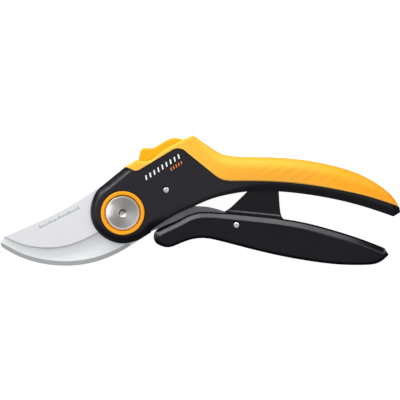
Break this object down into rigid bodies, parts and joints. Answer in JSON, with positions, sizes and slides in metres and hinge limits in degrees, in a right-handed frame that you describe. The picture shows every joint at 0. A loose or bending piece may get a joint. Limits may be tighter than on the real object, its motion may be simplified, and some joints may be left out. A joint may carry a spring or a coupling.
{
  "type": "bypass pruner",
  "caption": "One-hand garden pruner with a curved bypass blade over a hook blade, offset soft-grip handles, a large pivot and a thumb lock.",
  "frame": {"origin": "on the pivot axis, at the flat end of the nut on the side that the tool lies on", "axes": "+X from the jaws to the handle ends, +Y from the lower handle to the upper one, +Z along the pivot, away from the side it lies on"},
  "size_m": [0.2258, 0.0736, 0.022],
  "materials": {
    "black_nylon": "fine moulded grain, satin",
    "orange_grip": "soft, satin",
    "orange_hard": "satin gloss",
    "blade_steel": "fine ground",
    "hook_steel": "fine ground",
    "turned_steel": "turned in circles",
    "fastener_steel": "plain",
    "rivet_steel": "polished",
    "spring_steel": "drawn wire",
    "rubber": "matt"
  },
  "bodies": {
    "upper_handle": {"handle_frame": "black_nylon", "soft_grip": "orange_grip", "hook_blade": "hook_steel", "pivot_bolt": "fastener_steel", "pivot_cap": "turned_steel", "pivot_ring": "orange_hard", "pivot_nut": "fastener_steel", "pivot_bushing": "fastener_steel", "spring_washer": "spring_steel", "blade_washer": "fastener_steel", "opening_spring": "spring_steel", "hook_rivet": "rivet_steel", "stop_pad": "rubber"},
    "lower_lever": {"cutting_blade": "blade_steel", "lower_handle": "black_nylon", "stop_web": "black_nylon", "tang_rivet": "rivet_steel"},
    "lock": {"lock_button": "orange_hard", "lock_pawl": "fastener_steel", "lock_pin": "fastener_steel", "detent_ball": "turned_steel", "detent_spring": "spring_steel"}
  },
  "joints": [
    {"name": "lever_pivot", "type": "hinge", "parent": "upper_handle", "child": "lower_lever", "pos_m": [0, 0, 0.011], "axis": [0, 0, -1], "range_deg": [0, 30], "stiffness_Nm_per_rad": 0.5, "springref_deg": 44.98, "deforming": ["opening_spring"]},
    {"name": "lock_slide", "type": "slide", "parent": "upper_handle", "child": "lock", "axis": [-0.8616, -0.5075, 0], "range_m": [0, 0.005]}
  ]
}
